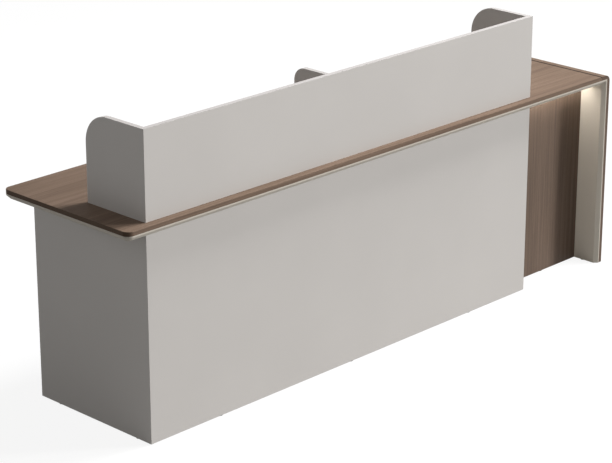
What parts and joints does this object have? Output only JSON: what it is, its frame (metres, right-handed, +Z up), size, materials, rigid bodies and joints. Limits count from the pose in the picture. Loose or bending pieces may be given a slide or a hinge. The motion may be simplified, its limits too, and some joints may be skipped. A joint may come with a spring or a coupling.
{
  "type": "reception desk",
  "caption": "Pale panelled reception desk with a raised front screen, walnut worktop, waterfall end and lit recess; staff side has drawers, a cabinet and knee spaces.",
  "frame": {"origin": "middle of the bounding box at the floor", "axes": "+X along the desk to the visitor's right, towards the waterfall end; +Y from the visitor's side to the staff side; +Z up"},
  "size_m": [2.4, 0.6, 1.05],
  "materials": {
    "pale_board": "satin pale warm grey laminate",
    "pale_lining": "satin pale warm grey laminate, bevelled edge",
    "walnut_board": "matte greyed walnut grain",
    "kick_board": "matte dark grey laminate",
    "pressed_steel": "fine textured grey powder coat",
    "zinc_steel": "bright zinc plating",
    "handle_metal": "satin brushed",
    "lock_metal": "polished",
    "black_plastic": "fine moulded texture",
    "light_channel": "satin anodised",
    "light_diffuser": "opal, glows warm white",
    "driver_plastic": "satin moulded"
  },
  "bodies": {
    "desk": {"front_panel": "pale_board", "left_end_panel": "pale_board", "recess_return": "pale_board", "screen_front": "pale_board", "screen_left_return": "pale_board", "screen_divider": "pale_board", "screen_right_return": "pale_board", "pedestal_left_side": "pale_board", "pedestal_right_side": "pale_board", "pedestal_top": "pale_board", "pedestal_bottom": "pale_board", "cabinet_left_side": "pale_board", "cabinet_right_side": "pale_board", "cabinet_bottom": "pale_board", "cabinet_shelf": "pale_board", "worktop_underlayer": "pale_lining", "waterfall_lining": "pale_lining", "worktop_board": "walnut_board", "waterfall_panel": "walnut_board", "recess_panel": "walnut_board", "pedestal_kick_board": "kick_board", "cabinet_kick_board": "kick_board", "cable_trays": "pressed_steel", "shelf_pins": "zinc_steel", "angle_brackets": "zinc_steel", "bracket_screws": "zinc_steel", "cam_locks": "zinc_steel", "cam_bolts": "zinc_steel", "runner_outer_members": "zinc_steel", "hinge_frame_leaves": "zinc_steel", "grommet_sleeves": "black_plastic", "levelling_feet": "black_plastic", "led_lead": "black_plastic", "led_channel": "light_channel", "led_diffuser": "light_diffuser", "led_strip": "light_diffuser", "led_driver": "driver_plastic"},
    "drawer_1": {"drawer_1_front": "pale_board", "drawer_1_tray": "pressed_steel", "drawer_1_handle": "handle_metal", "drawer_1_inner_runners": "zinc_steel", "lock_housing": "lock_metal"},
    "drawer_1_runners": {"drawer_1_middle_runners": "zinc_steel"},
    "drawer_2": {"drawer_2_front": "pale_board", "drawer_2_tray": "pressed_steel", "drawer_2_handle": "handle_metal", "drawer_2_inner_runners": "zinc_steel"},
    "drawer_2_runners": {"drawer_2_middle_runners": "zinc_steel"},
    "drawer_3": {"drawer_3_front": "pale_board", "drawer_3_tray": "pressed_steel", "drawer_3_handle": "handle_metal", "drawer_3_inner_runners": "zinc_steel"},
    "drawer_3_runners": {"drawer_3_middle_runners": "zinc_steel"},
    "lock": {"lock_plug": "lock_metal", "lock_tongue": "zinc_steel"},
    "door": {"cabinet_door": "pale_board", "cabinet_door_handle": "handle_metal", "hinge_door_leaves": "zinc_steel"},
    "cap_left": {"grommet_cap_left": "black_plastic"},
    "cap_right": {"grommet_cap_right": "black_plastic"}
  },
  "joints": [
    {"name": "drawer_1_slide", "type": "slide", "parent": "desk", "child": "drawer_1", "axis": [0, 1, 0], "range_m": [0, 0.43]},
    {"name": "drawer_1_runner_slide", "type": "slide", "parent": "desk", "child": "drawer_1_runners", "axis": [0, 1, 0], "range_m": [0, 0.215]},
    {"name": "drawer_2_slide", "type": "slide", "parent": "desk", "child": "drawer_2", "axis": [0, 1, 0], "range_m": [0, 0.43]},
    {"name": "drawer_2_runner_slide", "type": "slide", "parent": "desk", "child": "drawer_2_runners", "axis": [0, 1, 0], "range_m": [0, 0.215]},
    {"name": "drawer_3_slide", "type": "slide", "parent": "desk", "child": "drawer_3", "axis": [0, 1, 0], "range_m": [0, 0.43]},
    {"name": "drawer_3_runner_slide", "type": "slide", "parent": "desk", "child": "drawer_3_runners", "axis": [0, 1, 0], "range_m": [0, 0.215]},
    {"name": "lock_turn", "type": "hinge", "parent": "drawer_1", "child": "lock", "pos_m": [-0.0375, 0.25, 0.684], "axis": [0, -1, 0], "range_deg": [0, 90]},
    {"name": "door_swing", "type": "hinge", "parent": "desk", "child": "door", "pos_m": [0.744, 0.251, 0.39], "axis": [0, 0, 1], "range_deg": [0, 110]},
    {"name": "cap_left_turn", "type": "hinge", "parent": "desk", "child": "cap_left", "pos_m": [-0.72475, -0.192, 0.75], "axis": [0, 0, 1], "continuous": true},
    {"name": "cap_right_turn", "type": "hinge", "parent": "desk", "child": "cap_right", "pos_m": [0.38975, -0.192, 0.75], "axis": [0, 0, 1], "continuous": true}
  ],
  "couplings": [
    {"joint": "drawer_1_runner_slide", "follows": "drawer_1_slide", "ratio": 0.5},
    {"joint": "drawer_2_runner_slide", "follows": "drawer_2_slide", "ratio": 0.5},
    {"joint": "drawer_3_runner_slide", "follows": "drawer_3_slide", "ratio": 0.5}
  ]
}
